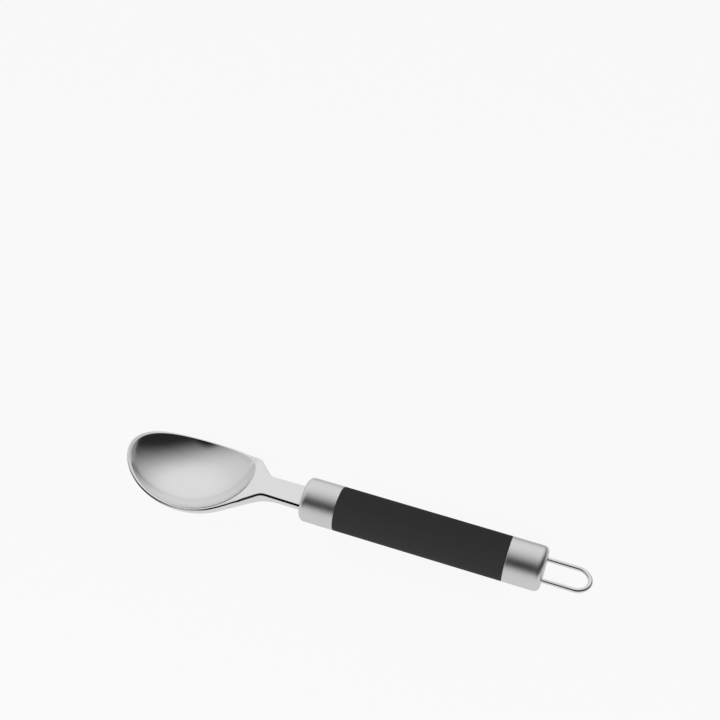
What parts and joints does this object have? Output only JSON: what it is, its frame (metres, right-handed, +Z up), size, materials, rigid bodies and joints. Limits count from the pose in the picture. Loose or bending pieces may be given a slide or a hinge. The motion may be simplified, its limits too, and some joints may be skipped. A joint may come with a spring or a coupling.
{
  "type": "ice cream scoop",
  "caption": "Spade-type ice cream scoop: an oval steel bowl with a curved rim on a flared neck, and a round handle with a dark sleeve, steel ferrules and a wire hanging loop.",
  "frame": {"origin": "on the table top, under the middle of the tool's bounding box", "axes": "+X along the tool from the bowl towards the hanging loop, +Z up, out of the table and out of the bowl's mouth, +Y completes a right-handed frame; XZ is the plane of symmetry"},
  "size_m": [0.2472, 0.0512, 0.0302],
  "materials": {
    "polished_steel": "mirror-polished stainless steel",
    "satin_steel": "satin stainless steel, finely brushed round the handle",
    "grip_plastic": "matte black, fine moulded texture",
    "core_plastic": "as moulded, dark grey",
    "seal_rubber": "soft black rubber"
  },
  "bodies": {
    "root": {"scoop_head": "polished_steel", "front_ferrule": "satin_steel", "shank_seal": "seal_rubber", "core_upper": "core_plastic", "core_lower": "core_plastic", "tang_pins": "satin_steel", "grip_sleeve": "grip_plastic", "end_plug": "core_plastic", "loop_seal": "seal_rubber", "rear_ferrule": "satin_steel", "hanging_loop": "polished_steel"}
  },
  "joints": []
}
